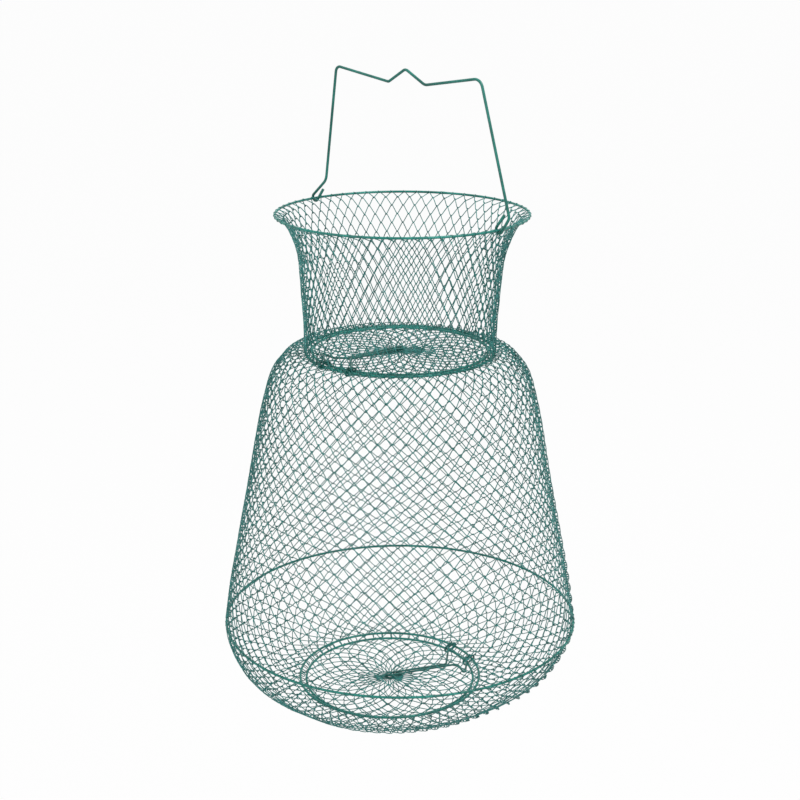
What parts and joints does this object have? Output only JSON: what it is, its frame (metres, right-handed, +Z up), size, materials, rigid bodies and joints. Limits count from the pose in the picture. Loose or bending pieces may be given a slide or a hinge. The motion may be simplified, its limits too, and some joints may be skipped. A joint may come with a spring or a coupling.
{
  "type": "wire keep net",
  "caption": "Collapsible wire keep net hung by a bail: rings joined by diamond-mesh net, with a sprung net door in the neck and another in the base.",
  "frame": {"origin": "the underside of the bail's middle peak, where the line that holds the net up ties", "axes": "+Z up through the hanging net, +Y away from the picture's camera, +X to the picture's right"},
  "size_m": [0.3322, 0.3322, 0.5825],
  "materials": {
    "rings": "satin green plastic coating on steel wire",
    "bail": "satin green plastic coating on steel wire",
    "springs": "satin green plastic coating on spring wire",
    "net": "thin dark grey-green coating on wire mesh"
  },
  "bodies": {
    "bail": {"bail": "bail"},
    "rim": {"rim_ring": "rings", "collar_net": "net"},
    "neck": {"neck_ring": "rings", "body_net": "net"},
    "belly": {"belly_ring": "rings", "bowl_net": "net"},
    "base": {"base_ring": "rings"},
    "top_door": {"top_door_ring": "rings", "top_door_net": "net", "top_door_spring": "springs", "top_door_eye": "springs"},
    "bottom_door": {"bottom_door_ring": "rings", "bottom_door_net": "net", "bottom_door_spring": "springs", "bottom_door_eye": "springs"}
  },
  "joints": [
    {"name": "bail_hinge", "type": "hinge", "parent": "bail", "child": "rim", "pos_m": [-0.00268, 0.00258, -0.12542], "axis": [0.7193, -0.6947, 0], "range_deg": [-45, 45]},
    {"name": "neck_slide", "type": "slide", "parent": "rim", "child": "neck", "axis": [0, 0, -1], "range_m": [-0.11, 0], "deforming": ["collar_net"]},
    {"name": "belly_slide", "type": "slide", "parent": "neck", "child": "belly", "axis": [0, 0, -1], "range_m": [-0.245, 0], "deforming": ["body_net"]},
    {"name": "base_slide", "type": "slide", "parent": "belly", "child": "base", "axis": [0, 0, -1], "range_m": [-0.058, 0], "deforming": ["bowl_net"]},
    {"name": "top_door_hinge", "type": "hinge", "parent": "neck", "child": "top_door", "pos_m": [-0.06111, -0.05965, -0.24777], "axis": [-0.7408, 0.6717, 0], "range_deg": [0, 80], "stiffness_Nm_per_rad": 0.07, "springref_deg": -63.03},
    {"name": "bottom_door_hinge", "type": "hinge", "parent": "base", "child": "bottom_door", "pos_m": [0.05701, 0.04825, -0.57327], "axis": [0.5373, -0.8434, 0], "range_deg": [0, 80], "stiffness_Nm_per_rad": 0.07, "springref_deg": -63.03}
  ]
}
